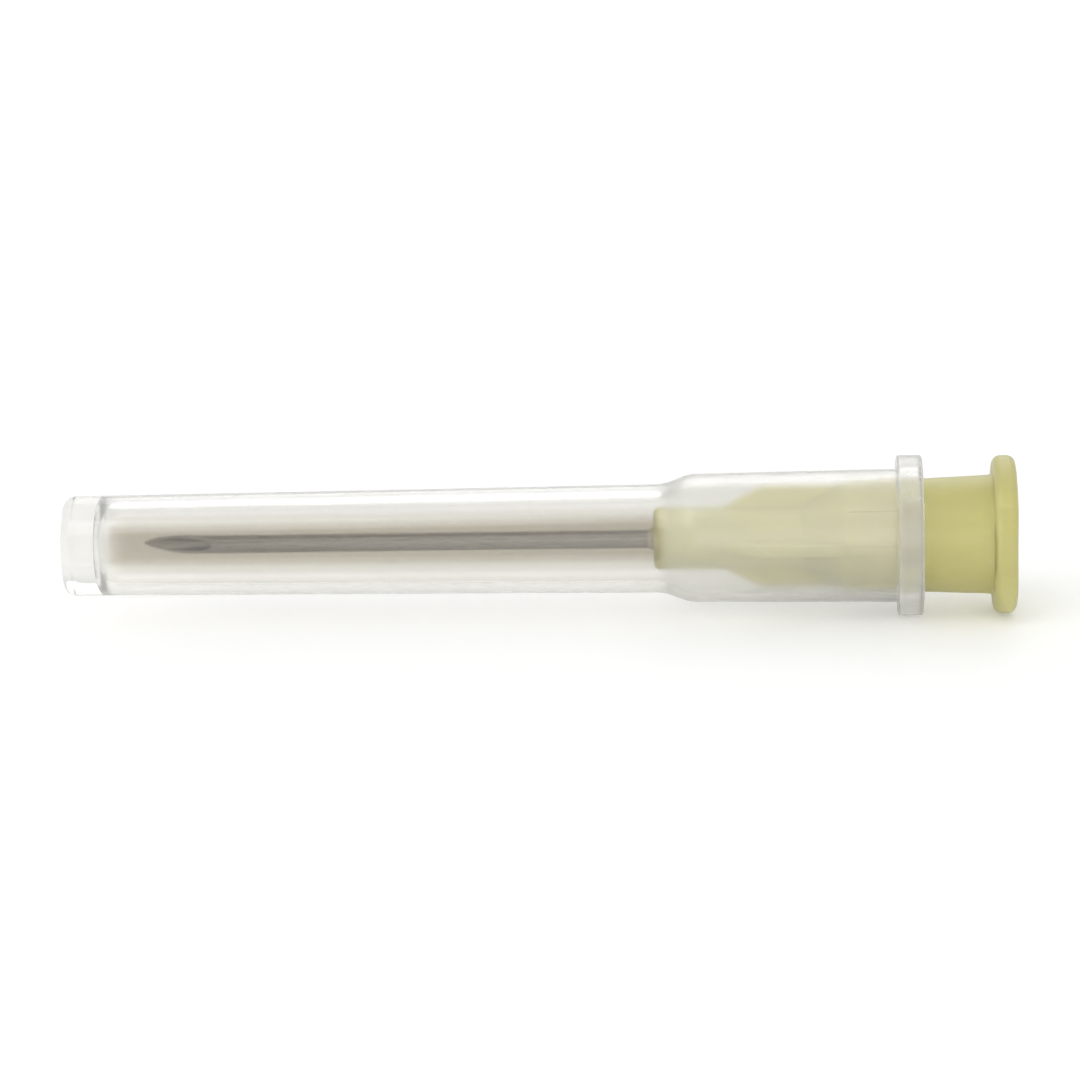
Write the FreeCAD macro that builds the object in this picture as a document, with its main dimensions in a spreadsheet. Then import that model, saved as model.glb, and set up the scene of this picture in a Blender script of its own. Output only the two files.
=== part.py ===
import FreeCAD
import Part
import Sketcher
import math
import os

# Hypodermic needle, 0.9 mm by 25 mm, in its closed shield, lying on its side.
# The needle's axis is X. The origin is the centre of the hub's mouth face.
# The mouth opens towards +X and the point lies towards -X.
# Each piece is drawn along its own +X, from the mouth to the point, and turned round.

SHEET = "Sizes"

SIZES = [
    ("hub_length", 17.86, "Hub, mouth face to the front of the nose"),
    ("flange_thick", 1.15, "Hub flange with the two lugs, along the axis"),
    ("lug_span", 7.8, "Hub, across the crests of the two lugs"),
    ("lug_flats", 6.3, "Hub flange, across the two flats between the lugs"),
    ("lug_round", 0.5, "Rounding of the lugs' crests"),
    ("flange_root", 0.16, "Sloped root between the flange and the barrel"),
    ("barrel_front_dia", 5.28, "Barrel at the start of the shoulder"),
    ("barrel_draft", 0.0419, "Barrel's gain in radius for each mm towards the flange"),
    ("barrel_length", 8.43, "Mouth face to the start of the shoulder"),
    ("shoulder_length", 2.16, "Cone from the barrel to the nose, along the axis"),
    ("nose_dia", 3.2, "Nose at the shoulder"),
    ("nose_front_dia", 3.1, "Nose at its front face"),
    ("nose_round", 0.3, "Rounding of the nose's front edge"),
    ("socket_mouth_dia", 4.3, "Female conical socket at the mouth face"),
    ("socket_taper", 0.06, "Socket's loss of diameter for each mm of depth"),
    ("socket_depth", 8.43, "Depth of the conical socket"),
    ("socket_edge", 0.12, "Chamfer round the socket's mouth"),
    ("relief_ledge", 0.2, "Ledge at the socket's end, in radius"),
    ("relief_length", 1.18, "Plain bore behind the ledge, along the axis"),
    ("funnel_length", 0.98, "Cone from the plain bore to the steel tube"),
    ("rib_count", 8, "Grip ribs round the barrel"),
    ("rib_width", 0.42, "Grip rib, across"),
    ("rib_height", 0.09, "Grip rib, above the barrel"),
    ("rib_start", 4.9, "Mouth face to the rear end of the ribs"),
    ("rib_lead", 0.35, "Slope at the front end of each rib, along the axis"),
    ("fin_count", 4, "Fins between the shoulder and the nose"),
    ("fin_width", 0.62, "Fin, across"),
    ("fin_drop", 0.06, "Fin's edge below the barrel's front radius"),
    ("fin_reach", 1.87, "Fin's level edge in front of the shoulder's end"),
    ("fin_slope", 1.96, "Fin's sloping front, along the axis"),
    ("well_dia", 2.4, "Well for the adhesive in the nose"),
    ("well_depth", 3.44, "Well's straight part, along the axis"),
    ("well_cone", 1.96, "Well's conical end, along the axis"),
    ("well_fill", 0.2, "Adhesive's rim below the nose's front face"),
    ("well_climb", 0.3, "Adhesive on the tube beyond the nose's front face"),
    ("cannula_od", 0.908, "Steel tube, outside"),
    ("cannula_id", 0.603, "Steel tube, inside"),
    ("cannula_reach", 25.4, "Steel tube in front of the nose, to the point"),
    ("bevel_length", 4.2, "Main bevel's run for one diameter of depth"),
    ("lancet_length", 2.79, "Side facets' run for one diameter of depth"),
    ("lancet_turn", 35, "Side facets' turn about the axis, in degrees"),
    ("lancet_share", 0.41, "Side facets' depth at the point, as a share of the tube"),
    ("shield_standoff", 3.45, "Hub flange to the shield's mouth"),
    ("shield_clearance", 0.03, "Grip ribs to the shield's bore, in radius"),
    ("shield_wall", 0.5, "Wall of the shield's wide part"),
    ("shield_draft", 0.0118, "Wide part's gain in radius for each mm to the mouth"),
    ("shield_lead", 0.2, "Chamfer inside the shield's mouth"),
    ("collar_height", 0.685, "Collar above the wide part, in radius"),
    ("collar_thick", 1.25, "Collar, along the axis"),
    ("collar_edge", 0.13, "Chamfer of the collar's edges"),
    ("nose_entry", 0.46, "Nose's front face beyond the shield's step"),
    ("nose_gap", 0.5, "Nose to the narrow bore, in radius"),
    ("step_length", 1.3, "Step between the wide part and the narrow tube"),
    ("step_ease", 0.35, "Chamfer of the step's two bends"),
    ("tube_wall", 0.585, "Wall of the shield's narrow tube"),
    ("tube_draft", 0.0073, "Narrow tube's gain in radius for each mm to the mouth"),
    ("tip_gap", 2.3, "Point of the steel to the end of the bore"),
    ("end_wall", 1.54, "Closed end of the shield"),
    ("end_round", 0.55, "Rounding of the closed end, outside"),
    ("bore_round", 0.85, "Rounding of the bore's end"),
]

doc = FreeCAD.newDocument("needle")
sheet = doc.addObject("Spreadsheet::Sheet", SHEET)
sheet.Label = SHEET
for row, (alias, size, note) in enumerate(SIZES, start=1):
    sheet.set(f"A{row}", note)
    sheet.set(f"B{row}", str(size))
    sheet.setAlias(f"B{row}", alias)
doc.recompute()

NAMES = {alias for alias, size, note in SIZES}


def term(text):
    """Number that a product such as 0.5*nose_dia stands for."""
    factors = [getattr(sheet, f) if f in NAMES else float(f) for f in text.split("*")]
    return math.prod(float(f) for f in factors)


def number(text):
    """Number that a sum such as hub_length - 0.5*nose_dia stands for."""
    words = text.split()
    total = term(words[0])
    for sign, word in zip(words[1::2], words[2::2]):
        total += term(word) if sign == "+" else -term(word)
    return total


def formula(text):
    """The same sum written with the sheet's cells."""
    words = []
    for word in text.split():
        parts = [f"{SHEET}.{p}" if p in NAMES else p for p in word.split("*")]
        words.append(" * ".join(parts))
    return " ".join(words)


def bind(item, prop, text):
    """Ties a property to the sheet."""
    item.setExpression(prop, formula(text))


def axis_of(body, role):
    """The body's own origin plane or axis of that role."""
    return next(f for f in body.Origin.OriginFeatures if f.Role == role)


def new_body(label):
    """An empty body whose own +X runs from the mouth to the point."""
    body = doc.addObject("PartDesign::Body", label)
    body.Label = label
    half_turn = FreeCAD.Rotation(FreeCAD.Vector(0, 0, 1), 180)
    body.Placement = FreeCAD.Placement(FreeCAD.Vector(0, 0, 0), half_turn)
    return body


def outline(body, name, role, corners):
    """A closed sketch of straight lines, each corner placed by two sums."""
    sketch = body.newObject("Sketcher::SketchObject", name)
    sketch.AttachmentSupport = [(axis_of(body, role), "")]
    sketch.MapMode = "FlatFace"
    points = [FreeCAD.Vector(number(x), number(y), 0) for x, y in corners]
    count = len(points)
    for i in range(count):
        sketch.addGeometry(Part.LineSegment(points[i], points[(i + 1) % count]), False)
    for i in range(count):
        following = (i + 1) % count
        sketch.addConstraint(Sketcher.Constraint("Coincident", i, 2, following, 1))
    for i, (x, y) in enumerate(corners):
        for kind, text, size, axis in (
            ("DistanceX", x, points[i].x, -2),
            ("DistanceY", y, points[i].y, -1),
        ):
            if text == "0":
                sketch.addConstraint(Sketcher.Constraint("PointOnObject", i, 1, axis))
                continue
            k = sketch.addConstraint(Sketcher.Constraint(kind, -1, 1, i, 1, size))
            sketch.setExpression(f"Constraints[{k}]", formula(text))
    sketch.Visibility = False
    doc.recompute()
    return sketch


# Corners on a quarter round, as shares of its radius: along the axis, and in from the wall
TWO_CHORDS = ((0, 1), (0.293, 0.293), (1, 0))
THREE_CHORDS = ((0, 1), (0.134, 0.5), (0.5, 0.134), (1, 0))


def eased(x, way, radius, ease, corners=THREE_CHORDS):
    """Corners of a quarter round in chords, from the face at x to the wall."""
    return [
        (f"{x} {way} {along}*{ease}", f"{radius} - {inward}*{ease}") for along, inward in corners
    ]


def turned(body, name, sketch, kind="PartDesign::Revolution"):
    """The sketch turned all the way round the body's X axis, added or cut."""
    feature = body.newObject(kind, name)
    feature.Profile = sketch
    feature.ReferenceAxis = (axis_of(body, "X_Axis"), [""])
    feature.Angle = 360
    body.Tip = feature
    doc.recompute()
    return feature


def through(body, name, sketch, length):
    """The sketch cut away to both sides of its plane."""
    before = body.Shape.Volume
    cut = body.newObject("PartDesign::Pocket", name)
    cut.Profile = sketch
    cut.Midplane = True
    bind(cut, "Length", length)
    body.Tip = cut
    doc.recompute()
    if body.Shape.Volume >= before:
        raise RuntimeError(f"{name} cuts nothing")


def blades(body, name, sketch, width, count):
    """The sketch raised to a blade across its plane, and repeated round the X axis."""
    pad = body.newObject("PartDesign::Pad", name)
    pad.Profile = sketch
    pad.Midplane = True
    bind(pad, "Length", width)
    doc.recompute()
    ring = body.newObject("PartDesign::PolarPattern", name + "_ring")
    ring.Originals = [pad]
    ring.Axis = (axis_of(body, "X_Axis"), [""])
    ring.Angle = 360
    bind(ring, "Occurrences", count)
    body.Tip = ring
    doc.recompute()


def rings(feature, places):
    """Names of the circular edges round the X axis at the given (x, radius) places."""
    found = []
    for x, radius in places:
        for i, edge in enumerate(feature.Shape.Edges, start=1):
            curve = edge.Curve
            if not isinstance(curve, Part.Circle):
                continue
            off = max(abs(curve.Center.x - number(x)), abs(curve.Radius - number(radius)))
            if off < 1e-4 and f"Edge{i}" not in found:
                found.append(f"Edge{i}")
    if len(found) < len(places):
        raise RuntimeError(f"{feature.Label} lacks a ring edge among {places}")
    return found


def chamfered(body, name, base, places, size):
    """A chamfer of one size on the ring edges at the given places."""
    chamfer = body.newObject("PartDesign::Chamfer", name)
    chamfer.Base = (base, rings(base, places))
    bind(chamfer, "Size", size)
    body.Tip = chamfer
    doc.recompute()


# Places that several pieces share, measured from the mouth face or the axis
SHOULDER_END = "barrel_length + shoulder_length"
TUBE_REAR = "socket_depth + relief_length + funnel_length"
WELL_FLOOR = "hub_length - well_depth - well_cone"
POINT = "hub_length + cannula_reach"
BARREL_FRONT = "0.5*barrel_front_dia"
BARREL_REAR = BARREL_FRONT + " + barrel_draft*barrel_length - barrel_draft*flange_thick"
TUBE_OUT = "0.5*cannula_od"
SOCKET_END = "0.5*socket_mouth_dia - 0.5*socket_taper*socket_depth"

# Hub: flange, barrel, shoulder and nose turned in one profile
hub = new_body("needle_hub")
hub_profile = outline(
    hub,
    "hub_profile",
    "XZ_Plane",
    [
        ("0", "0"),
        ("hub_length", "0"),
        *eased("hub_length", "-", "0.5*nose_front_dia", "nose_round", TWO_CHORDS),
        (SHOULDER_END, "0.5*nose_dia"),
        ("barrel_length", BARREL_FRONT),
        ("flange_thick + flange_root", BARREL_REAR + " - barrel_draft*flange_root"),
        ("flange_thick", BARREL_REAR + " + flange_root"),
        *eased("flange_thick", "-", "0.5*lug_span", "lug_round"),
        *reversed(eased("0", "+", "0.5*lug_span", "lug_round")),
    ],
)
turned(hub, "hub_turned", hub_profile)

# Hub: the flange keeps two lugs, above and below, between two flats
for name, inner, outer in (
    ("flat_near", "0.5*lug_flats", "0.6*lug_span"),
    ("flat_far", "-0.5*lug_flats", "-0.6*lug_span"),
):
    corners = [("0", inner), ("flange_thick", inner), ("flange_thick", outer), ("0", outer)]
    flat = outline(hub, name, "XY_Plane", corners)
    through(hub, name + "_cut", flat, "2*lug_span")

# Hub: fine grip ribs along the barrel, with its taper
RIB_REAR = BARREL_FRONT + " + barrel_draft*barrel_length - barrel_draft*rib_start"
rib_profile = outline(
    hub,
    "rib_profile",
    "XZ_Plane",
    [
        ("rib_start", "0.5*barrel_front_dia - 2*rib_height"),
        ("rib_start", RIB_REAR + " + rib_height"),
        ("barrel_length - rib_lead", BARREL_FRONT + " + barrel_draft*rib_lead + rib_height"),
        ("barrel_length", BARREL_FRONT),
        ("barrel_length", "0.5*barrel_front_dia - 2*rib_height"),
    ],
)
blades(hub, "rib", rib_profile, "rib_width", "rib_count")

# Hub: four fins that carry the shoulder's width forward over the nose
FIN_EDGE = BARREL_FRONT + " - fin_drop"
fin_profile = outline(
    hub,
    "fin_profile",
    "XZ_Plane",
    [
        ("barrel_length", "0.5*well_dia"),
        ("barrel_length", FIN_EDGE),
        (SHOULDER_END + " + fin_reach", FIN_EDGE),
        (SHOULDER_END + " + fin_reach + fin_slope", "0.5*nose_front_dia"),
        (SHOULDER_END + " + fin_reach + fin_slope", "0.5*well_dia"),
    ],
)
blades(hub, "fin", fin_profile, "fin_width", "fin_count")

# Hub: conical socket, plain bore, funnel, seat of the steel tube and adhesive well
solid_volume = hub.Shape.Volume
bore_profile = outline(
    hub,
    "bore_profile",
    "XZ_Plane",
    [
        ("0", "0"),
        ("0", "0.5*socket_mouth_dia + socket_edge"),
        ("socket_edge", "0.5*socket_mouth_dia - 0.5*socket_taper*socket_edge"),
        ("socket_depth", SOCKET_END),
        ("socket_depth", SOCKET_END + " - relief_ledge"),
        ("socket_depth + relief_length", SOCKET_END + " - relief_ledge"),
        (TUBE_REAR, TUBE_OUT),
        (WELL_FLOOR, TUBE_OUT),
        ("hub_length - well_depth", "0.5*well_dia"),
        ("hub_length", "0.5*well_dia"),
        ("hub_length", "0"),
    ],
)
turned(hub, "bore", bore_profile, "PartDesign::Groove")
if hub.Shape.Volume >= solid_volume:
    raise RuntimeError("the hub's bore cuts nothing")

# Steel tube, from the funnel's end to the point
cannula = new_body("cannula")
tube_profile = outline(
    cannula,
    "tube_profile",
    "XZ_Plane",
    [
        (TUBE_REAR, "0.5*cannula_id"),
        (POINT, "0.5*cannula_id"),
        (POINT, TUBE_OUT),
        (TUBE_REAR, TUBE_OUT),
    ],
)
turned(cannula, "tube", tube_profile)

# Point: one long bevel across the tube, facing the near side
bevel_profile = outline(
    cannula,
    "bevel_profile",
    "XY_Plane",
    [
        (POINT + " + 0.5*bevel_length", "-1*cannula_od"),
        (POINT + " + 0.5*bevel_length", "cannula_od"),
        (POINT + " - 1.5*bevel_length", "cannula_od"),
    ],
)
through(cannula, "bevel", bevel_profile, "2*cannula_od")

# Point: two steeper side facets, ground with the tube turned each way about its axis
for name, way in (("lancet_left", "-1"), ("lancet_right", "1")):
    facet_profile = outline(
        cannula,
        name + "_profile",
        "XY_Plane",
        [
            (POINT + " + 0.5*lancet_length", "-1*lancet_share*cannula_od - 0.5*cannula_od"),
            (POINT + " + 0.5*lancet_length", "-1*lancet_share*cannula_od + 1.5*cannula_od"),
            (POINT + " - 1.5*lancet_length", "-1*lancet_share*cannula_od + 1.5*cannula_od"),
        ],
    )
    turn = FreeCAD.Rotation(FreeCAD.Vector(1, 0, 0), number(way + "*lancet_turn"))
    facet_profile.AttachmentOffset = FreeCAD.Placement(FreeCAD.Vector(0, 0, 0), turn)
    doc.recompute()
    through(cannula, name, facet_profile, "4*cannula_od")

# Adhesive: a ring that fills the well and climbs a little up the steel
adhesive = new_body("adhesive")
adhesive_profile = outline(
    adhesive,
    "adhesive_profile",
    "XZ_Plane",
    [
        (WELL_FLOOR, TUBE_OUT),
        ("hub_length + well_climb", TUBE_OUT),
        ("hub_length - well_fill", "0.5*well_dia"),
        ("hub_length - well_depth", "0.5*well_dia"),
    ],
)
turned(adhesive, "adhesive_turned", adhesive_profile)

# Places along the shield
MOUTH = "flange_thick + shield_standoff"
COLLAR_FRONT = MOUTH + " + collar_thick"
STEP_END = "hub_length - nose_entry"
STEP_START = STEP_END + " - step_length"
BORE_END = POINT + " + tip_gap"
CLOSED_END = BORE_END + " + end_wall"

# Radii of the shield: its bore follows the ribs, then drafts in towards the step
GRIP_BORE = BARREL_FRONT + " + rib_height + shield_clearance"
MOUTH_BORE = (
    GRIP_BORE
    + " + barrel_draft*barrel_length"
    + " - barrel_draft*flange_thick - barrel_draft*shield_standoff"
)
WIDE_BORE = (
    GRIP_BORE
    + " + shield_draft*barrel_length"
    + " - shield_draft*hub_length + shield_draft*nose_entry + shield_draft*step_length"
)
COLLAR_ROOT = (
    GRIP_BORE
    + " + shield_wall + shield_draft*barrel_length"
    + " - shield_draft*flange_thick - shield_draft*shield_standoff"
    + " - shield_draft*collar_thick"
)
COLLAR_CREST = COLLAR_ROOT + " + collar_height"
NARROW_BORE = "0.5*nose_dia + nose_gap"
NARROW_END = (
    NARROW_BORE
    + " - tube_draft*nose_entry - tube_draft*cannula_reach - tube_draft*tip_gap"
)
CLOSED_RADIUS = NARROW_END + " + tube_wall - tube_draft*end_wall"

# Shield: collar, wide part, step, narrow tube and closed end turned in one profile
shield = new_body("shield")
shield_profile = outline(
    shield,
    "shield_profile",
    "XZ_Plane",
    [
        (MOUTH, MOUTH_BORE + " + shield_lead"),
        (MOUTH, COLLAR_CREST + " - collar_edge"),
        (MOUTH + " + collar_edge", COLLAR_CREST),
        (COLLAR_FRONT + " - collar_edge", COLLAR_CREST),
        (COLLAR_FRONT, COLLAR_CREST + " - collar_edge"),
        (COLLAR_FRONT, COLLAR_ROOT),
        (STEP_START, WIDE_BORE + " + shield_wall"),
        (STEP_END, NARROW_BORE + " + tube_wall"),
        *reversed(eased(CLOSED_END, "-", CLOSED_RADIUS, "end_round")),
        (CLOSED_END, "0"),
        (BORE_END, "0"),
        *eased(BORE_END, "-", NARROW_END, "bore_round", TWO_CHORDS),
        (STEP_END, NARROW_BORE),
        (STEP_START, WIDE_BORE),
        ("barrel_length", GRIP_BORE),
        (MOUTH + " + shield_lead", MOUTH_BORE + " - barrel_draft*shield_lead"),
    ],
)
shield_turned = turned(shield, "shield_turned", shield_profile)
step_edges = [(STEP_START, WIDE_BORE + " + shield_wall"), (STEP_END, NARROW_BORE + " + tube_wall")]
chamfered(shield, "step", shield_turned, step_edges, "step_ease")

doc.recompute()

# Every object is sound, and every piece is one valid solid, before anything is written
for item in doc.Objects:
    if "Invalid" in item.State or "Error" in item.State:
        raise RuntimeError(f"{item.Name} is in state {item.State}")
PIECES = [hub, cannula, adhesive, shield]
for piece in PIECES:
    if piece.Shape.isNull() or not piece.Shape.isValid():
        raise RuntimeError(f"{piece.Label} has no valid shape")
    if len(piece.Shape.Solids) != 1:
        raise RuntimeError(f"{piece.Label} has {len(piece.Shape.Solids)} solids")

os.makedirs("parts", exist_ok=True)
for piece in PIECES:
    piece.Shape.exportStep(f"parts/{piece.Label}.step")
    box = piece.Shape.BoundBox
    print(
        f"{piece.Label}: {piece.Shape.Volume:.2f} mm3,"
        f" x {box.XMin:.2f} to {box.XMax:.2f}, z {box.ZMin:.2f} to {box.ZMax:.2f}"
    )
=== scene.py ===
import math

import bpy
import numpy as np
from mathutils import Matrix, Vector


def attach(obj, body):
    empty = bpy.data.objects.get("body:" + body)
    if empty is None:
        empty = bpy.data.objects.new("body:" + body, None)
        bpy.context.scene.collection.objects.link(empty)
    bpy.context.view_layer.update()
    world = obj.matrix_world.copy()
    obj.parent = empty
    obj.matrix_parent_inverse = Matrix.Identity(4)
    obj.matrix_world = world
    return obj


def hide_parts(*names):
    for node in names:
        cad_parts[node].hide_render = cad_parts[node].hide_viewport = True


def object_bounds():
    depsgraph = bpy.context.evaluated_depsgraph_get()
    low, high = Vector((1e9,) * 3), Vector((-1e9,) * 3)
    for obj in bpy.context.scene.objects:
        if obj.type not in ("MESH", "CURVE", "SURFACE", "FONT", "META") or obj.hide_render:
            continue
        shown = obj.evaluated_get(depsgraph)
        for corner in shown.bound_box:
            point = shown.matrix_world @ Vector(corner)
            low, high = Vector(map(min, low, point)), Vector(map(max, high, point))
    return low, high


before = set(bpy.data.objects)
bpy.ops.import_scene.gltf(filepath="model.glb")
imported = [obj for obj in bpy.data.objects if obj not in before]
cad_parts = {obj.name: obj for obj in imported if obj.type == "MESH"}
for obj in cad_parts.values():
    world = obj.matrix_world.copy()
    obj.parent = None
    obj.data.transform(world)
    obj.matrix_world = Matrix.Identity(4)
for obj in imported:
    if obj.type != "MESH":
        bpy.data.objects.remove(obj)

bl_info = {
    "name": "Capped hypodermic needle",
    "version": (1, 0, 0),
    "blender": (4, 5, 0),
    "location": "3D View > Sidebar > Needle",
    "description": "Makes the hub, the steel tube, the adhesive and the clear shield of a needle",
    "category": "Add Mesh",
}

MM = 0.001
CAD_BOX = [[float(v) for v in corner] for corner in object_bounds()]
FLOOR = CAD_BOX[0][2]

# Slopes: a change of radius for each unit of length
BARREL_SLOPE = 0.0419
SOCKET_SLOPE = 0.03
WIDE_SLOPE = 0.0118
NARROW_SLOPE = 0.0073

# The hub's inside: places from its mouth face, and depths from the nose's front face
MOUTH_CHAMFER = 0.12 * MM
SOCKET_END = 8.43 * MM
RELIEF_LEDGE = 0.2 * MM
RELIEF_END = 9.61 * MM
SEAT_START = 10.59 * MM
SEAT_RADIUS = 0.454 * MM
WELL_RADIUS = 1.2 * MM
WELL_LIP = 0.1 * MM
WELL_DEPTH = 3.44 * MM
WELL_CONE_DEPTH = 5.40 * MM

# Ribs and fins
RIBS = 8
RIB_START = 4.9 * MM
RIB_LEAD = 0.35 * MM
RIB_FLANK = 4.0
FINS = 4
FIN_DROP = 0.06 * MM
FIN_LEVEL = 1.87 * MM
FIN_FALL = 1.96 * MM

# Degrees between columns, and from a rib's middle half way to the next one's, where the
# columns stand closer together at the edges of the ribs and the fins
FINE_TURN = 1.875
COARSE_TURN = 3.75
HALF_PITCH_STEPS = (
    0.0, 1.5, 3.0, 3.9, 4.3, 4.6, 5.0, 5.8, 6.5, 6.9, 7.3,
    7.9, 8.6, 9.4, 10.2, 11.0, 11.6, 12.5, 14.0, 16.0, 18.0, 20.25,
)
SHARP_EDGE = math.radians(28)

# Materials
PLASTIC_IOR = 1.49
RESIN_IOR = 1.52
WHITE = (1.0, 1.0, 1.0, 1.0)

# The stage: half the floor's side, the middle of the needle, the width of the picture there,
# the camera's sensor in millimetres and its clip distances, and the lamps with their places,
# diameters and watts
FLOOR_REACH = 1.5
MIDDLE = Vector((-23.5 * MM, 0.0, 0.0))
VIEW_WIDTH = 53.5 * MM
SENSOR_WIDTH = 36.0
CLIP_NEAR = 0.01
CLIP_FAR = 10.0
LAMPS = (
    ("key", (-0.20, -0.25, 0.42), 0.35, 0.5),
    ("fill", (0.10, -0.45, 0.10), 0.40, 0.45),
    ("back", (0.0, 0.40, 0.30), 0.35, 0.3),
)


# Sizes and colours

def length(name, default, description):
    """A size, given in millimetres and kept in metres, that a user may change."""
    return bpy.props.FloatProperty(
        name=name, description=description, default=default * MM,
        unit="LENGTH", subtype="DISTANCE", min=0.0, precision=5,
    )


def angle(name, default, description):
    """An angle, given in degrees, that a user may change."""
    return bpy.props.FloatProperty(
        name=name, description=description, default=math.radians(default), subtype="ANGLE",
    )


def level(name, default, description):
    """A level of light that a user may change."""
    return bpy.props.FloatProperty(
        name=name, description=description, default=default, min=0.0,
    )


def colour(name, default, description):
    """A colour that a user may change."""
    return bpy.props.FloatVectorProperty(
        name=name, description=description, default=default,
        subtype="COLOR", size=3, min=0.0, max=1.0,
    )


class HubSizes(bpy.types.PropertyGroup):
    """Sizes and colour of the needle's hub."""
    length: length("Length", 17.86, "Mouth face to the front of the nose")
    flange: length("Flange", 1.15, "Flange with the lugs, along the axis")
    lug_span: length("Lug span", 7.8, "Across the crests of the two lugs")
    flats: length("Flats", 6.3, "Across the two flats of the flange")
    lug_round: length("Lug rounding", 0.42, "Rounding of the flange's rim")
    barrel_end: length("Barrel end", 8.43, "Mouth face to the start of the shoulder")
    barrel_front: length("Barrel diameter", 5.28, "Barrel at the start of the shoulder")
    shoulder: length("Shoulder", 2.16, "Cone from the barrel to the nose")
    nose: length("Nose diameter", 3.2, "Nose at the shoulder")
    nose_front: length("Nose front", 3.1, "Nose at its front face")
    nose_round: length("Nose rounding", 0.3, "Rounding of the nose's front edge")
    socket: length("Socket mouth", 4.3, "Conical socket at the mouth face")
    rib_height: length("Rib height", 0.09, "Grip rib above the barrel")
    rib_width: length("Rib width", 0.42, "Grip rib, across")
    fin_width: length("Fin width", 0.62, "Fin, across")
    tint: colour("Plastic", (0.84, 0.80, 0.36), "Translucent yellow plastic")


class TubeSizes(bpy.types.PropertyGroup):
    """Sizes and colour of the steel tube."""
    outside: length("Outside", 0.908, "Outside diameter")
    inside: length("Inside", 0.603, "Inside diameter")
    rear: length("Rear end", 10.59, "Mouth face to the tube's rear end")
    point: length("Point", 43.26, "Mouth face to the point")
    bevel: length("Bevel", 4.2, "Run of the main bevel")
    lancet: length("Lancet", 2.79, "Run of the side facets for one diameter of depth")
    lancet_turn: angle("Lancet turn", 35, "Side facets' turn about the axis")
    lancet_share: bpy.props.FloatProperty(
        name="Lancet share", description="Side facets' depth as a share of the tube",
        default=0.41, subtype="FACTOR", min=0.0, max=1.0,
    )
    tint: colour("Steel", (0.34, 0.32, 0.30), "Drawn stainless steel")


class AdhesiveSizes(bpy.types.PropertyGroup):
    """Sizes and colour of the resin in the nose."""
    well: length("Well", 2.4, "Diameter of the well")
    climb: length("Climb", 0.3, "Resin on the tube beyond the nose")
    fill: length("Fill", 0.2, "Resin's rim below the nose's front face")
    tint: colour("Resin", (0.88, 0.82, 0.52), "Clear amber resin")


class ShieldSizes(bpy.types.PropertyGroup):
    """Sizes and colour of the clear shield."""
    mouth: length("Mouth", 4.6, "Hub's mouth face to the shield's mouth")
    collar: length("Collar", 1.25, "Collar, along the axis")
    collar_radius: length("Collar radius", 3.97, "Axis to the collar's crest")
    collar_round: length("Collar rounding", 0.14, "Rounding of the collar's edges")
    wall: length("Wall", 0.5, "Wall of the wide part")
    step_start: length("Step start", 16.1, "Hub's mouth face to the step")
    step_end: length("Step end", 17.4, "Hub's mouth face to the narrow tube")
    step_round: length("Step rounding", 2.0, "Rounding of the step's two bends")
    bore_end: length("Bore end", 45.56, "Hub's mouth face to the bore's end")
    closed_end: length("Closed end", 47.1, "Hub's mouth face to the closed end")
    end_round: length("End rounding", 0.55, "Rounding of the closed end")
    bore_round: length("Bore rounding", 0.85, "Rounding of the bore's end")
    # Face-on colour of the narrow tube: the plastic's warm tint with painted shade added, which
    # stands in for the shade seen through it
    tint: colour("Plastic", (0.63, 0.60, 0.53), "Clear plastic with a warm, smoky haze")


class StageSizes(bpy.types.PropertyGroup):
    """The view and the light."""
    rise: angle("Elevation", 16, "The camera's angle above the floor")
    yaw: angle("Yaw", 2, "The camera's turn towards the hub")
    roll: angle("Roll", 1.3, "The needle's rise to the right in the picture")
    lens: bpy.props.FloatProperty(
        name="Lens", description="Focal length", default=180.0, unit="CAMERA", min=1.0,
    )
    floor: colour("Floor", (0.93, 0.93, 0.92), "Pale floor")
    glow: level("Floor glow", 0.24, "What the camera sees beyond the floor's own colour")
    room: level("Room light", 0.62, "Even light from all round")
    overhead: level("Overhead", 0.74, "Backdrop's level above the needle")


class NeedleSizes(bpy.types.PropertyGroup):
    """Everything that the operators read."""
    hub: bpy.props.PointerProperty(type=HubSizes, name="Hub", description="The hub")
    tube: bpy.props.PointerProperty(type=TubeSizes, name="Tube", description="The steel tube")
    adhesive: bpy.props.PointerProperty(
        type=AdhesiveSizes, name="Adhesive", description="The resin in the nose",
    )
    shield: bpy.props.PointerProperty(
        type=ShieldSizes, name="Shield", description="The clear shield",
    )
    stage: bpy.props.PointerProperty(type=StageSizes, name="Stage", description="The stage")


# Shapes as arrays

def arc(corner, before, after, radius, steps):
    """Points of a circle's arc that touches both straight runs at a corner.

    The arc's ends lie radius * tan(turn / 2) from the corner, and its points are even in angle.
    """
    corner, before, after = (np.array(p, float) for p in (corner, before, after))
    back = (before - corner) / np.linalg.norm(before - corner)
    on = (after - corner) / np.linalg.norm(after - corner)
    half = 0.5 * math.acos(float(np.clip(back @ on, -1.0, 1.0)))
    middle = (back + on) / np.linalg.norm(back + on)
    centre = corner + middle * radius / math.sin(half)
    first = corner + back * radius / math.tan(half) - centre
    last = corner + on * radius / math.tan(half) - centre
    turn = math.pi - 2.0 * half
    t = np.linspace(0.0, 1.0, steps)[:, None]
    return centre + (np.sin((1 - t) * turn) * first + np.sin(t * turn) * last) / math.sin(turn)


def rounded_line(corners, steps):
    """A line of straight runs whose corners, given as (x, r, radius), are arcs."""
    places = [corner[:2] for corner in corners]
    pieces = [np.array([places[0]])]
    for i in range(1, len(corners) - 1):
        radius = corners[i][2]
        if radius > 0:
            pieces.append(arc(places[i], places[i - 1], places[i + 1], radius, steps))
        else:
            pieces.append(np.array([places[i]]))
    pieces.append(np.array([places[-1]]))
    return np.concatenate(pieces)


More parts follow.
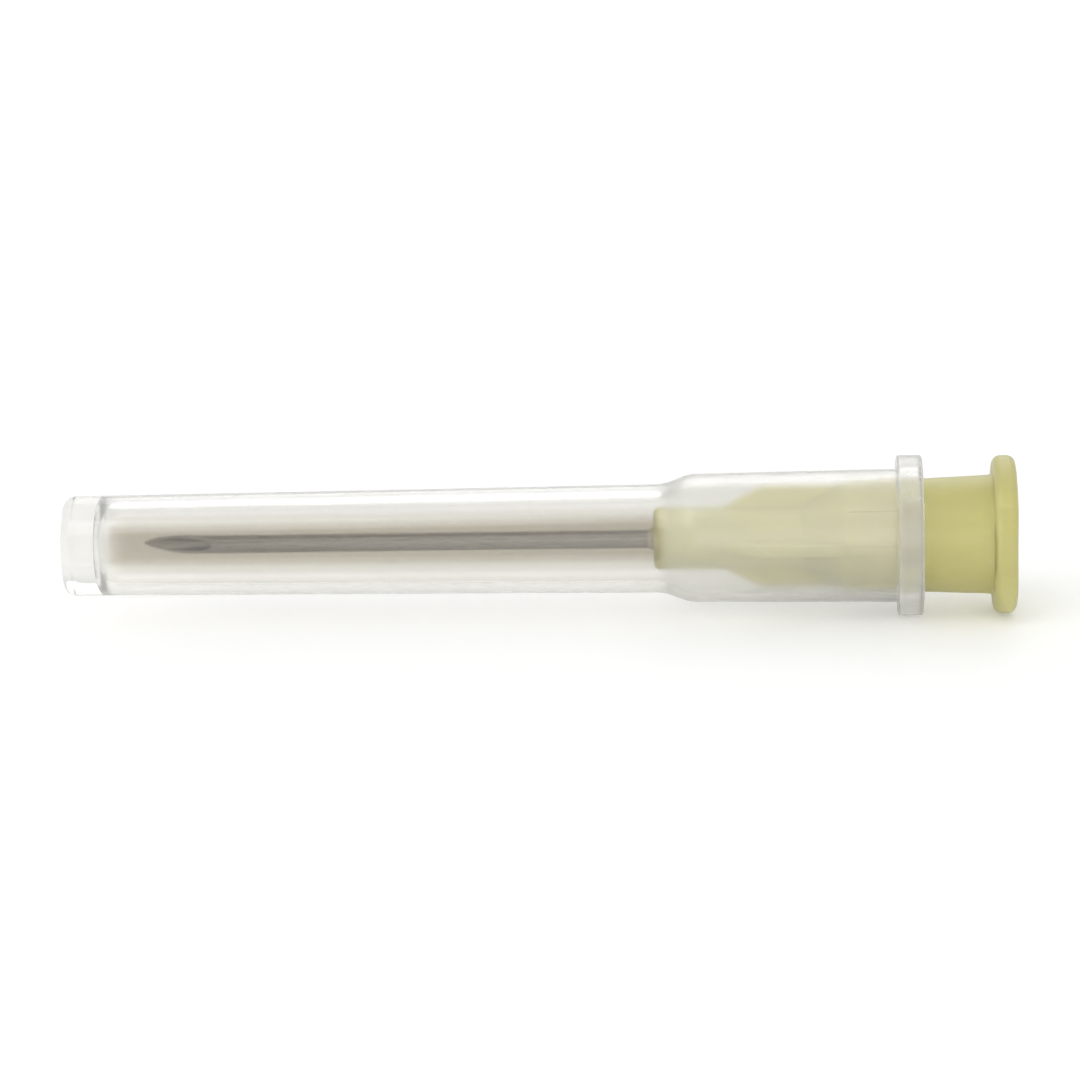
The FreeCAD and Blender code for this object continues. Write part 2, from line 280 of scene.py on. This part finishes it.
def filled(line, step):
    """The same line with each run divided evenly into parts no longer than step."""
    gaps = np.linalg.norm(np.diff(line, axis=0), axis=1)
    counts = np.maximum(1, np.ceil(gaps / step)).astype(int)
    start = np.repeat(np.arange(len(gaps)), counts)
    share = np.concatenate([np.arange(n) / n for n in counts])
    points = line[start] + share[:, None] * (line[start + 1] - line[start])
    return np.concatenate([points, line[-1:]])


def softer_max(a, b, ease):
    """The larger of two values, with a rounded change: half of a + b + root((a-b)^2 + ease^2)."""
    return 0.5 * (a + b + np.sqrt((a - b) ** 2 + ease ** 2))


def softer_min(a, b, ease):
    """The smaller of two values, with a rounded change: half of a + b - root((a-b)^2 + ease^2)."""
    return 0.5 * (a + b - np.sqrt((a - b) ** 2 + ease ** 2))


def even_angles(step):
    """Angles of a full turn, so many degrees apart, as one row."""
    return np.radians(np.arange(0, 360, step))[None, :]


def round_about(x, r, angles):
    """Grid of points at a distance x along the axis, a radius r and an angle from the top."""
    x, y, z = np.broadcast_arrays(x, r * np.sin(angles), r * np.cos(angles))
    return np.stack([-x, -y, z], axis=-1)


def turned(line, angles):
    """Grid of a section, a line of points (x, r), turned round the axis."""
    return round_about(line[:, :1], line[:, 1:], angles)


def stacked(rows, angles):
    """Grid of groups of rows, each group a pair of x and r for every row and angle."""
    pairs = [np.broadcast_arrays(x, r, angles)[:2] for x, r in rows]
    x = np.concatenate([pair[0] for pair in pairs])
    r = np.concatenate([pair[1] for pair in pairs])
    return round_about(x, r, angles)


def grid_faces(index, loop):
    """Quads and triangles of a grid of point numbers, closed round its columns.

    With loop the last row joins the first. Otherwise the first and the last row are poles,
    each one point that a fan of triangles meets.
    """
    body = np.concatenate([index, index[:1]]) if loop else index[1:-1]
    right = np.roll(body, -1, axis=1)
    quads = np.stack([body[:-1], right[:-1], right[1:], body[1:]], axis=-1).reshape(-1, 4)
    if loop:
        return quads, np.empty((0, 3), int)
    first = np.full(index.shape[1], index[0, 0])
    last = np.full(index.shape[1], index[-1, 0])
    tris = np.concatenate([
        np.stack([first, right[0], body[0]], axis=-1),
        np.stack([last, body[-1], right[-1]], axis=-1),
    ])
    return quads, tris


def outward(points, quads, tris):
    """The faces, all turned over if they face inwards.

    They do if the volume that they enclose is negative: a sixth of the sum of the triple
    products of each triangle's corners.
    """
    every = np.concatenate([quads[:, [0, 1, 2]], quads[:, [0, 2, 3]], tris])
    a, b, c = (points[every[:, k]] for k in range(3))
    if np.einsum("ij,ij->", a, np.cross(b, c)) < 0:
        return quads[:, ::-1], tris[:, ::-1]
    return quads, tris


def skin(name, grid, loop):
    """Object from a grid of points, rows by columns, with the faces of grid_faces."""
    count = grid.shape[0] * grid.shape[1]
    quads, tris = grid_faces(np.arange(count).reshape(grid.shape[:2]), loop)
    used = np.unique(np.concatenate([quads.ravel(), tris.ravel()]))
    renumber = np.zeros(count, int)
    renumber[used] = np.arange(len(used))
    points = grid.reshape(-1, 3)[used]
    quads, tris = outward(points, renumber[quads], renumber[tris])
    mesh = bpy.data.meshes.new(name)
    mesh.vertices.add(len(points))
    mesh.vertices.foreach_set("co", points.astype(np.float32).ravel())
    corners = np.concatenate([quads.ravel(), tris.ravel()]).astype(np.int32)
    mesh.loops.add(len(corners))
    mesh.loops.foreach_set("vertex_index", corners)
    starts = np.concatenate([
        np.arange(len(quads)) * 4, len(quads) * 4 + np.arange(len(tris)) * 3,
    ]).astype(np.int32)
    mesh.polygons.add(len(starts))
    mesh.polygons.foreach_set("loop_start", starts)
    mesh.update(calc_edges=True)
    mesh.validate()
    mesh.shade_smooth()
    mesh.set_sharp_from_angle(angle=SHARP_EDGE)
    piece = bpy.data.objects.new(name, mesh)
    bpy.context.scene.collection.objects.link(piece)
    return piece


# Shader sums

class Wire:
    """One socket's value in a material. A sum of wires adds the Math nodes for it."""

    def __init__(self, finish, socket):
        self.finish = finish
        self.socket = socket

    def _sum(self, operation, a, b):
        return self.finish.add("ShaderNodeMath", {"operation": operation}, {0: a, 1: b})

    def __add__(self, other):
        return self._sum("ADD", self, other)

    __radd__ = __add__

    def __sub__(self, other):
        return self._sum("SUBTRACT", self, other)

    def __rsub__(self, other):
        return self._sum("SUBTRACT", other, self)

    def __mul__(self, other):
        return self._sum("MULTIPLY", self, other)

    __rmul__ = __mul__


class Finish:
    """A material or a world that is being put together, node by node."""

    def __init__(self, owner):
        self.owner = owner
        owner.use_nodes = True
        self.tree = owner.node_tree
        self.tree.nodes.clear()

    def add(self, kind, settings, values, output=0):
        """A node of that type with its settings, its sockets' values or wires, and one output."""
        node = self.tree.nodes.new(kind)
        for key, value in settings.items():
            setattr(node, key, value)
        for key, value in values.items():
            if isinstance(value, Wire):
                self.tree.links.new(value.socket, node.inputs[key])
            else:
                node.inputs[key].default_value = value
        return Wire(self, node.outputs[output]) if node.outputs else None

    def place(self, stretch=(1.0, 1.0, 1.0)):
        """Object coordinates, stretched."""
        here = self.add("ShaderNodeTexCoord", {}, {}, "Object")
        return self.add("ShaderNodeMapping", {}, {"Vector": here, "Scale": stretch})

    def noise(self, place, scale, detail=2.0, rough=0.5):
        """Noise from 0 to 1 with so many waves to the metre."""
        return self.add(
            "ShaderNodeTexNoise", {},
            {"Vector": place, "Scale": scale, "Detail": detail, "Roughness": rough}, "Fac",
        )

    def blend(self, share, a, b):
        """Two colours mixed by a share of the second."""
        first, second = (c if isinstance(c, Wire) else (*c, 1.0) for c in (a, b))
        return self.add(
            "ShaderNodeMix", {"data_type": "RGBA"}, {0: share, 6: first, 7: second}, 2,
        )

    def shaded(self, share, tint, level):
        """A colour that darkens to a level of itself, by a share."""
        return self.blend(share, tint, tuple(level * v for v in tint))

    def along(self):
        """Distance from the hub's mouth towards the point."""
        here = self.add("ShaderNodeTexCoord", {}, {}, "Object")
        return -1.0 * self.add("ShaderNodeSeparateXYZ", {}, {"Vector": here}, "X")

    def ramp(self, value, ends):
        """A smooth change between two (from, to) pairs."""
        (a, low), (b, high) = ends
        return self.add(
            "ShaderNodeMapRange", {"interpolation_type": "SMOOTHSTEP"},
            {"Value": value, "From Min": a, "From Max": b, "To Min": low, "To Max": high},
        )

    def band(self, value, start, end, ease):
        """1 between start and end, 0 outside, with soft edges."""
        rise = self.ramp(value, ((start - ease, 0.0), (start + ease, 1.0)))
        fall = self.ramp(value, ((end - ease, 1.0), (end + ease, 0.0)))
        return rise * fall

    def bump(self, height, distance, strength):
        """A normal from a height."""
        return self.add(
            "ShaderNodeBump", {},
            {"Height": height, "Distance": distance, "Strength": strength}, "Normal",
        )

    def plastic(self, values):
        """Principled shader with these sockets."""
        return self.add("ShaderNodeBsdfPrincipled", {}, values, "BSDF")

    def mix(self, share, a, b):
        """Two shaders mixed by a share of the second."""
        return self.add("ShaderNodeMixShader", {}, {0: share, 1: a, 2: b})

    def seen(self):
        """Above 0 for what the camera, the gloss or the clear plastic sees, 0 for other light."""
        kinds = ("Is Camera Ray", "Is Glossy Ray", "Is Transmission Ray")
        camera, glossy, through = (self.add("ShaderNodeLightPath", {}, {}, kind) for kind in kinds)
        return camera + glossy + through

    def finish(self, shader, kind="ShaderNodeOutputMaterial"):
        """Puts the shader on the owner's surface."""
        self.add(kind, {}, {"Surface": shader})
        return self.owner


def hub_plastic(tint):
    """Translucent moulded plastic: faint flow clouds along the axis and a fine satin skin."""
    f = Finish(bpy.data.materials.new("hub_plastic"))
    clouds = f.noise(f.place((0.35, 1.0, 1.0)), scale=900.0, detail=3.0)
    grain = f.noise(f.place(), scale=24000.0)
    shader = f.plastic({
        "Base Color": f.shaded(clouds, tint, 0.9),
        "Roughness": 0.3 + 0.12 * clouds,
        "IOR": PLASTIC_IOR,
        "Transmission Weight": 0.4,
        "Subsurface Weight": 0.7,
        "Subsurface Radius": (1.0, 0.9, 0.5),
        "Subsurface Scale": 1.0 * MM,
        "Normal": f.bump(grain + 0.6 * clouds, distance=0.004 * MM, strength=0.5),
    })
    return f.finish(shader)


def tube_steel(tint):
    """Drawn steel: fine lines along the axis, slightly uneven in gloss."""
    f = Finish(bpy.data.materials.new("tube_steel"))
    lines = f.noise(f.place((0.02, 1.0, 1.0)), scale=30000.0, detail=3.0, rough=0.6)
    patches = f.noise(f.place(), scale=1500.0)
    shader = f.plastic({
        "Base Color": f.shaded(patches, tint, 0.82),
        "Metallic": 1.0,
        "Roughness": 0.2 + 0.16 * lines,
        "Normal": f.bump(lines, distance=0.002 * MM, strength=0.6),
    })
    return f.finish(shader)


def resin(tint):
    """Cured resin: clear amber with a few small bubbles."""
    f = Finish(bpy.data.materials.new("resin"))
    bubbles = f.add(
        "ShaderNodeTexVoronoi", {}, {"Vector": f.place(), "Scale": 4200.0}, "Distance",
    )
    clouds = f.noise(f.place(), scale=1800.0)
    shader = f.plastic({
        "Base Color": f.shaded(clouds, tint, 0.9),
        "Roughness": 0.12 + 0.1 * clouds,
        "IOR": RESIN_IOR,
        "Transmission Weight": 0.55,
        "Normal": f.bump(bubbles, distance=0.01 * MM, strength=0.35),
    })
    return f.finish(shader)


def clear_plastic_with_painted_shade(tint, collar, wide_end, tip):
    """Clear moulded plastic, milky where it is thick, that lets nearly all lamp light through.

    Face on, the narrow tube is smoky: the plastic's warm tint with painted shade added, which
    stands in for the shade of what lies behind, seen through the tube.
    Towards its sides it is paler, with a painted grey shade on the rim. Bands along the axis mark
    the collar, the wide part and the closed end.
    """
    clear_tint = (0.94, 0.935, 0.915)
    # Painted shade: the grey colour of the clear plastic's dark edges
    painted_rim_shade = (0.68, 0.665, 0.61)
    milk_tint = (0.86, 0.86, 0.83, 1.0)
    lamp_tint = (0.985, 0.98, 0.965, 1.0)
    lamp_share = 0.96
    f = Finish(bpy.data.materials.new("clear_plastic_with_painted_shade"))
    draw = f.noise(f.place((0.05, 1.0, 1.0)), scale=5200.0, detail=3.0)
    haze = f.noise(f.place((0.5, 1.0, 1.0)), scale=1300.0, detail=3.0)
    along = f.along()
    thick = f.band(along, collar[0], collar[1], ease=0.12 * MM)
    wide = f.band(along, collar[1], wide_end, ease=0.4 * MM)
    end = f.band(along, tip[0], tip[1], ease=0.4 * MM)
    edge = f.add("ShaderNodeLayerWeight", {}, {"Blend": 0.5}, "Facing")
    # Painted shade: face on, the narrow tube takes the smoky tint in place of the shade seen
    # through it, while the wide part and the closed end stay near clear
    tint_with_painted_shade = f.blend(wide + 0.82 * end, tint, clear_tint)
    pale = f.blend(f.ramp(edge, ((0.055, 0.0), (0.1, 1.0))), tint_with_painted_shade, clear_tint)
    # Painted shade: a grey rim where the surface turns away from the view, left out at the closed
    # end
    rim = f.ramp(edge, ((0.4, 0.0), (0.9, 0.8))) * (1.0 - end)
    clear = f.plastic({
        "Base Color": f.blend(rim, pale, painted_rim_shade),
        "Roughness": 0.07 + 0.08 * haze + 0.1 * wide,
        "IOR": PLASTIC_IOR,
        "Transmission Weight": 1.0,
        "Normal": f.bump(draw + 0.5 * haze, distance=0.006 * MM, strength=0.5),
    })
    milk = f.plastic({"Base Color": milk_tint, "Roughness": 0.35, "IOR": PLASTIC_IOR})
    milk_share = 0.035 + 0.04 * haze + 0.22 * thick + 0.1 * wide + 0.14 * end
    lamps = f.add("ShaderNodeLightPath", {}, {}, "Is Shadow Ray")
    open_to_lamps = f.add("ShaderNodeBsdfTransparent", {}, {"Color": lamp_tint})
    return f.finish(f.mix(lamp_share * lamps, f.mix(milk_share, clear, milk), open_to_lamps))


def floor_paint(tint, glow):
    """Pale matt floor, a little brighter to the camera, the clear plastic and the metal."""
    f = Finish(bpy.data.materials.new("floor_paint"))
    clouds = f.noise(f.place(), scale=40.0)
    base = f.shaded(0.3 * clouds, tint, 0.97)
    matt = f.plastic({"Base Color": base, "Roughness": 0.7, "Specular IOR Level": 0.2})
    light = f.add("ShaderNodeEmission", {}, {"Color": WHITE, "Strength": glow})
    both = f.add("ShaderNodeAddShader", {}, {0: matt, 1: light})
    return f.finish(f.mix(f.seen(), matt, both))


def room_light(strength, overhead):
    """An even pale room.

    The camera, the gloss and the clear plastic see it white at the horizon and greyer overhead.
    """
    f = Finish(bpy.data.worlds.new("room"))
    way = f.add("ShaderNodeTexCoord", {}, {}, "Generated")
    height = f.add("ShaderNodeSeparateXYZ", {}, {"Vector": way}, "Z")
    shade = f.ramp(height, ((0.1, 1.0), (0.34, overhead)))
    light = f.add("ShaderNodeBackground", {}, {"Color": WHITE, "Strength": strength})
    backdrop = f.add("ShaderNodeBackground", {}, {"Color": WHITE, "Strength": shade})
    return f.finish(f.mix(f.seen(), light, backdrop), "ShaderNodeOutputWorld")


# Pieces

def rib_angles():
    """Angles round the hub: each half pitch of the ribs has the same steps, and its mirror."""
    pitch = 360.0 / RIBS
    steps = np.array(HALF_PITCH_STEPS)
    one = np.concatenate([steps, pitch - np.concatenate([[0.5 * pitch], steps[:0:-1]])])
    return np.radians(np.concatenate([one + pitch * k for k in range(RIBS)]))[None, :]


def off_middle(angles, count):
    """Degrees from the nearest of so many even places round the axis, the first at the top."""
    pitch = 360.0 / count
    return np.abs((np.degrees(angles) + 0.5 * pitch) % pitch - 0.5 * pitch)


def flange_rows(s, a, mouth, back, root):
    """Rows of the flange: mouth face, rounded rim, front face and the root on the barrel.

    The rim's radius is the lesser of the lugs' and half the flats over the sine of the angle,
    eased, then scaled so that the lugs keep their span. On the faces the rows reach a share
    of the way to it. The rim and the root are quarter circles.
    """
    least_sine = 0.05
    flats = 0.5 * s.flats / np.maximum(abs(np.sin(a)), least_sine)
    rim = softer_min(0.5 * s.lug_span + 0 * a, flats, ease=0.12 * MM)
    rim = rim * (0.5 * s.lug_span / rim.max())
    rho = s.lug_round
    t = np.linspace(0, 1, 9)[:, None]
    q = np.radians(np.linspace(0, 90, 11))[:, None]
    return [
        (0 * t, mouth + t * (rim - rho - mouth)),
        (rho * (1 - np.cos(q[1:])), rim - rho * (1 - np.sin(q[1:]))),
        (s.flange - rho * (1 - np.sin(q)), rim - rho * (1 - np.cos(q))),
        (s.flange + 0 * t[1:], rim - rho - t[1:] * (rim - rho - back - root)),
        (s.flange + root * (1 - np.cos(q[1:])), back + root * (1 - np.sin(q[1:]))),
    ]


def hub_outside(s, back, root):
    """Section of the barrel, the shoulder and the nose, up to the well's lip."""
    bend = 0.4 * MM
    line = rounded_line([
        (s.flange + root, back - BARREL_SLOPE * root, 0),
        (s.barrel_end, 0.5 * s.barrel_front, bend),
        (s.barrel_end + s.shoulder, 0.5 * s.nose, bend),
        (s.length, 0.5 * s.nose_front, s.nose_round),
        (s.length, WELL_RADIUS + WELL_LIP, 0),
    ], steps=8)
    return filled(line, step=0.14 * MM)[1:]


def hub_inside(s, mouth):
    """Section of the well, its cone, the tube's seat, the funnel, the relief and the socket."""
    seat = SEAT_RADIUS + 0.004 * MM
    socket_end = 0.5 * s.socket - SOCKET_SLOPE * SOCKET_END
    relief = socket_end - RELIEF_LEDGE
    line = rounded_line([
        (s.length, WELL_RADIUS + WELL_LIP, 0),
        (s.length, WELL_RADIUS, 0.05 * MM),
        (s.length - WELL_DEPTH, WELL_RADIUS, 0.15 * MM),
        (s.length - WELL_CONE_DEPTH, seat, 0.1 * MM),
        (SEAT_START, seat, 0.1 * MM),
        (RELIEF_END, relief, 0.1 * MM),
        (SOCKET_END, relief, 0.05 * MM),
        (SOCKET_END, socket_end, 0.04 * MM),
        (MOUTH_CHAMFER, 0.5 * s.socket - SOCKET_SLOPE * MOUTH_CHAMFER, 0.03 * MM),
        (0, mouth, 0),
    ], steps=5)
    return filled(line, step=0.9 * MM)[1:-1]


def with_ribs(s, x, base, a):
    """Radius on the barrel: the greater of the barrel's and the ribs', eased.

    A rib stands its height above the barrel, less where it starts and ends. Beyond half its
    width it falls by a multiple of the distance.
    """
    settle = 0.002 * MM
    rise = np.minimum(
        np.clip((x - RIB_START) / RIB_LEAD, 0, 1), np.clip((s.barrel_end - x) / RIB_LEAD, 0, 1),
    )
    top = base + s.rib_height * rise
    beyond = np.radians(off_middle(a, RIBS)) * base - 0.5 * s.rib_width
    rib = np.where(beyond < 0, top, top - RIB_FLANK * beyond)
    on_barrel = (x > RIB_START - 0.1 * MM) & (x < s.barrel_end)
    ribbed = softer_max(base + 0 * a, rib, ease=0.012 * MM) - settle
    return np.where(on_barrel, ribbed, base + 0 * a)


def with_fins(s, x, base, a):
    """Radius on the nose: the greater of the nose's and the fins', eased.

    A fin is the lesser of its edge's radius and half its width over the sine of the angle
    from its middle. Its edge runs level and then falls to just above the nose.
    """
    margin = 0.05 * MM
    least_sine = 0.01
    edge = 0.5 * s.barrel_front - FIN_DROP
    level_end = s.barrel_end + s.shoulder + FIN_LEVEL
    fall = np.clip((x - level_end) / FIN_FALL, 0, 1)
    top = edge - fall * (edge - 0.5 * s.nose_front - 0.02 * MM)
    side = 0.5 * s.fin_width / np.maximum(np.sin(np.radians(off_middle(a, FINS))), least_sine)
    fin = softer_min(top + 0 * a, side + 0 * x, ease=0.08 * MM)
    on_nose = (x > s.barrel_end + margin) & (x < level_end + FIN_FALL + margin)
    return np.where(on_nose, softer_max(base, fin, ease=0.06 * MM), base)


def hub_grid(s):
    """Hub: rows follow its section from the mouth face round to the socket, columns the angle.

    The radius is that of the section, and the flange's rim, the ribs and the fins change it
    with the angle.
    """
    a = rib_angles()
    root = 0.18 * MM
    back = 0.5 * s.barrel_front + BARREL_SLOPE * (s.barrel_end - s.flange)
    mouth = 0.5 * s.socket + MOUTH_CHAMFER
    outside = hub_outside(s, back, root)
    inside = hub_inside(s, mouth)
    x = outside[:, :1]
    radius = with_fins(s, x, with_ribs(s, x, outside[:, 1:], a), a)
    rows = flange_rows(s, a, mouth, back, root)
    return stacked(rows + [(x, radius), (inside[:, :1], inside[:, 1:])], a)


def ground_end(s, r, a):
    """Place along the axis where the ground point ends the tube, at a radius and an angle.

    It is the least of three planes. The bevel falls by its run over one diameter, and each
    side facet by its own run, in a direction turned about the axis.
    """
    y = r * np.sin(a)
    z = r * np.cos(a)
    end = s.point - (y + 0.5 * s.outside) * s.bevel / s.outside
    for way in (-1, 1):
        depth = y * math.cos(s.lancet_turn) + way * z * math.sin(s.lancet_turn)
        facet = s.point - (depth + s.outside * s.lancet_share) * s.lancet / s.outside
        end = np.minimum(end, facet)
    return end


def tube_grid(s):
    """Steel tube: rows run along the outside, over the ground point and back inside.

    Along the outside and the bore each row lies a share of the way from the rear end to the
    ground end at that angle, the rows closer together at the point.
    """
    a = even_angles(FINE_TURN)
    out, bore = 0.5 * s.outside, 0.5 * s.inside
    ease = 0.03 * MM
    start = s.rear + ease
    along = np.concatenate([np.linspace(0, 0.86, 30), np.linspace(0.87, 1, 40)])[:, None]
    across = out + np.linspace(0, 1, 13)[1:-1, None] * (bore - out)
    return stacked([
        (start + along * (ground_end(s, out, a) - start), out),
        (ground_end(s, across, a), across),
        (start + along[::-1] * (ground_end(s, bore, a) - start), bore),
        (s.rear, bore + ease),
        (s.rear, out - ease),
    ], a)


def resin_grid(s, hub, tube):
    """Resin: its section turned round, from the well's cone to the meniscus on the tube.

    The meniscus is a quarter ellipse, lowest at the well's wall and highest on the tube.
    """
    out = 0.5 * tube.outside + 0.003 * MM
    well = 0.5 * s.well - 0.004 * MM
    nose = hub.length
    rise = np.linspace(0, 1, 12)[:, None]
    drop = np.sqrt(np.clip(1 - (1 - rise) ** 2, 0, 1))
    meniscus = np.concatenate([
        nose + s.climb - (s.climb + s.fill) * drop, out + (well - out) * rise,
    ], axis=1)
    cone_end = [[nose - WELL_CONE_DEPTH + 0.02 * MM, out]]
    section = np.concatenate([cone_end, meniscus, [[nose - WELL_DEPTH, well]], cone_end])
    return turned(filled(section, step=0.4 * MM)[:-1], even_angles(COARSE_TURN))


def shield_grid(s, hub):
    """Shield: one section turned round, from the bore's end out over the mouth to the tip."""
    clearance = 0.03 * MM
    nose_gap = 0.5 * MM
    tube_wall = 0.585 * MM
    lead = 0.2 * MM
    grip = 0.5 * hub.barrel_front + hub.rib_height + clearance
    mouth_bore = grip + BARREL_SLOPE * (hub.barrel_end - s.mouth)
    wide = grip - WIDE_SLOPE * (s.step_start - hub.barrel_end)
    collar_front = s.mouth + s.collar
    root = grip + s.wall + WIDE_SLOPE * (hub.barrel_end - collar_front)
    narrow = 0.5 * hub.nose + nose_gap
    narrow_end = narrow - NARROW_SLOPE * (s.bore_end - s.step_end)
    end = narrow_end + tube_wall - NARROW_SLOPE * (s.closed_end - s.bore_end)
    line = rounded_line([
        (s.bore_end, 0, 0),
        (s.bore_end, narrow_end, s.bore_round),
        (s.step_end, narrow, s.step_round),
        (s.step_start, wide, s.step_round),
        (hub.barrel_end, grip, 2.0 * MM),
        (s.mouth + lead, mouth_bore, 0.1 * MM),
        (s.mouth, mouth_bore + lead, 0.05 * MM),
        (s.mouth, s.collar_radius, s.collar_round),
        (collar_front, s.collar_radius, s.collar_round),
        (collar_front, root, s.collar_round),
        (s.step_start, wide + s.wall, s.step_round),
        (s.step_end, narrow + tube_wall, s.step_round),
        (s.closed_end, end, s.end_round),
        (s.closed_end, 0, 0),
    ], steps=12)
    return turned(filled(line, step=0.6 * MM), even_angles(FINE_TURN))


def put_on(piece, material, body, node):
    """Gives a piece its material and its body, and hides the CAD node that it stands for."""
    piece.data.materials.append(material)
    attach(piece, body)
    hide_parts(node)


class NEEDLE_OT_hub(bpy.types.Operator):
    """Make the translucent yellow hub"""
    bl_idname = "needle.hub"
    bl_label = "Hub"

    def execute(self, context):
        sizes = context.scene.needle.hub
        piece = skin("hub", hub_grid(sizes), True)
        put_on(piece, hub_plastic(tuple(sizes.tint)), "needle", "needle_hub")
        return {"FINISHED"}


class NEEDLE_OT_tube(bpy.types.Operator):
    """Make the steel tube with its ground point"""
    bl_idname = "needle.tube"
    bl_label = "Steel tube"

    def execute(self, context):
        sizes = context.scene.needle.tube
        piece = skin("steel_tube", tube_grid(sizes), True)
        put_on(piece, tube_steel(tuple(sizes.tint)), "needle", "cannula")
        return {"FINISHED"}


class NEEDLE_OT_adhesive(bpy.types.Operator):
    """Make the resin that holds the tube in the nose"""
    bl_idname = "needle.adhesive"
    bl_label = "Adhesive"

    def execute(self, context):
        sizes = context.scene.needle
        grid = resin_grid(sizes.adhesive, sizes.hub, sizes.tube)
        piece = skin("resin_ring", grid, True)
        put_on(piece, resin(tuple(sizes.adhesive.tint)), "needle", "adhesive")
        return {"FINISHED"}


class NEEDLE_OT_shield(bpy.types.Operator):
    """Make the clear shield"""
    bl_idname = "needle.shield"
    bl_label = "Shield"

    def execute(self, context):
        sizes = context.scene.needle
        s = sizes.shield
        piece = skin("clear_shield", shield_grid(s, sizes.hub), False)
        collar = (s.mouth, s.mouth + s.collar)
        tip = (s.bore_end - s.bore_round, s.closed_end + s.end_round)
        material = clear_plastic_with_painted_shade(tuple(s.tint), collar, s.step_end, tip)
        put_on(piece, material, "shield", "shield")
        return {"FINISHED"}


def facing(way):
    """Turn of a lamp or a camera that looks along a direction, upright."""
    return way.to_track_quat("-Z", "Y")


def make_floor(scene, s):
    """A pale square floor at the lowest height of the solids."""
    reach = FLOOR_REACH
    corners = [
        (-reach, -reach, FLOOR), (reach, -reach, FLOOR),
        (reach, reach, FLOOR), (-reach, reach, FLOOR),
    ]
    mesh = bpy.data.meshes.new("floor")
    mesh.from_pydata(corners, [], [(0, 1, 2, 3)])
    mesh.materials.append(floor_paint(tuple(s.floor), s.glow))
    floor = bpy.data.objects.new("floor", mesh)
    scene.collection.objects.link(floor)


def make_lamps(scene):
    """Round soft lamps that face the middle of the needle."""
    for name, place, size, power in LAMPS:
        lamp = bpy.data.lights.new(name, "AREA")
        lamp.shape = "DISK"
        lamp.size = size
        lamp.energy = power
        holder = bpy.data.objects.new(name, lamp)
        holder.location = place
        holder.rotation_euler = facing(MIDDLE - Vector(place)).to_euler()
        scene.collection.objects.link(holder)


def make_camera(scene, s):
    """The camera, at the distance where the picture spans the view's width at the needle."""
    camera = bpy.data.cameras.new("camera")
    camera.lens = s.lens
    camera.sensor_width = SENSOR_WIDTH
    camera.clip_start = CLIP_NEAR
    camera.clip_end = CLIP_FAR
    distance = VIEW_WIDTH * s.lens / SENSOR_WIDTH
    out_way = Vector((
        math.sin(s.yaw) * math.cos(s.rise), -math.cos(s.yaw) * math.cos(s.rise), math.sin(s.rise),
    ))
    turn = facing(-out_way).to_matrix().to_4x4()
    spin = Matrix.Rotation(-s.roll, 4, "Z")
    holder = bpy.data.objects.new("camera", camera)
    holder.matrix_world = Matrix.Translation(MIDDLE + out_way * distance) @ turn @ spin
    scene.collection.objects.link(holder)
    scene.camera = holder


class NEEDLE_OT_stage(bpy.types.Operator):
    """Make the floor, the lamps, the world and the camera"""
    bl_idname = "needle.stage"
    bl_label = "Stage"

    def execute(self, context):
        scene = context.scene
        s = scene.needle.stage
        make_floor(scene, s)
        scene.world = room_light(s.room, s.overhead)
        make_lamps(scene)
        make_camera(scene, s)
        scene.view_settings.view_transform = "Standard"
        return {"FINISHED"}


class NEEDLE_PT_parts(bpy.types.Panel):
    """The needle's pieces and their sizes"""
    bl_idname = "NEEDLE_PT_parts"
    bl_label = "Needle"
    bl_space_type = "VIEW_3D"
    bl_region_type = "UI"
    bl_category = "Needle"

    def draw(self, context):
        sizes = context.scene.needle
        for title, group, operator in (
            ("Hub", sizes.hub, NEEDLE_OT_hub),
            ("Steel tube", sizes.tube, NEEDLE_OT_tube),
            ("Adhesive", sizes.adhesive, NEEDLE_OT_adhesive),
            ("Shield", sizes.shield, NEEDLE_OT_shield),
            ("Stage", sizes.stage, NEEDLE_OT_stage),
        ):
            box = self.layout.box()
            box.label(text=title)
            for key in group.__annotations__:
                box.prop(group, key)
            box.operator(operator.bl_idname)


CLASSES = (
    HubSizes, TubeSizes, AdhesiveSizes, ShieldSizes, StageSizes, NeedleSizes,
    NEEDLE_OT_hub, NEEDLE_OT_tube, NEEDLE_OT_adhesive, NEEDLE_OT_shield, NEEDLE_OT_stage,
    NEEDLE_PT_parts,
)


def register():
    """Adds the classes and the scene's sizes."""
    for item in CLASSES:
        bpy.utils.register_class(item)
    bpy.types.Scene.needle = bpy.props.PointerProperty(
        type=NeedleSizes, name="Needle", description="The needle's sizes and colours",
    )


def unregister():
    """Takes the scene's sizes and the classes away."""
    del bpy.types.Scene.needle
    for item in reversed(CLASSES):
        bpy.utils.unregister_class(item)


def main():
    register()
    bpy.ops.needle.hub()
    bpy.ops.needle.tube()
    bpy.ops.needle.adhesive()
    bpy.ops.needle.shield()
    bpy.ops.needle.stage()


if __name__ == "__main__":
    main()
